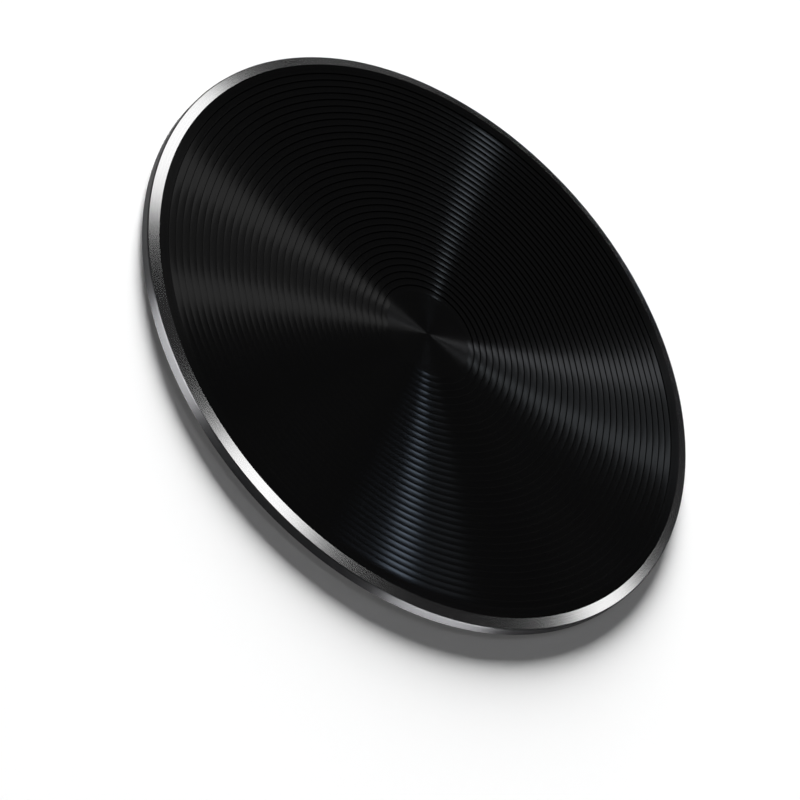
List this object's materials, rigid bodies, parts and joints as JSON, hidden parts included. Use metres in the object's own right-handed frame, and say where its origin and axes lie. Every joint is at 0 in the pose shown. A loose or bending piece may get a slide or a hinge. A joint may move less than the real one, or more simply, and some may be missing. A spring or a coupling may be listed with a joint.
{
  "type": "magnetic phone mount plate",
  "caption": "Thin round steel plate with a black turned face of fine concentric grooves, a bright chamfered rim, and an adhesive pad with a release liner on its back.",
  "frame": {"origin": "on the plate's upright axis, at the underside of the release liner, which is the surface that the plate lies on", "axes": "+Z out of the grooved face along the plate's axis; X and Y lie in the surface, and the plate is round, so they mark no feature"},
  "size_m": [0.04, 0.04, 0.0012],
  "materials": {
    "black_metal": "black coat over fine turned grooves, with a bright bare chamfer round the rim",
    "adhesive": "matt black foam tape",
    "liner": "plain off-white film"
  },
  "bodies": {
    "root": {"plate": "black_metal", "adhesive_pad": "adhesive", "release_liner": "liner"}
  },
  "joints": []
}
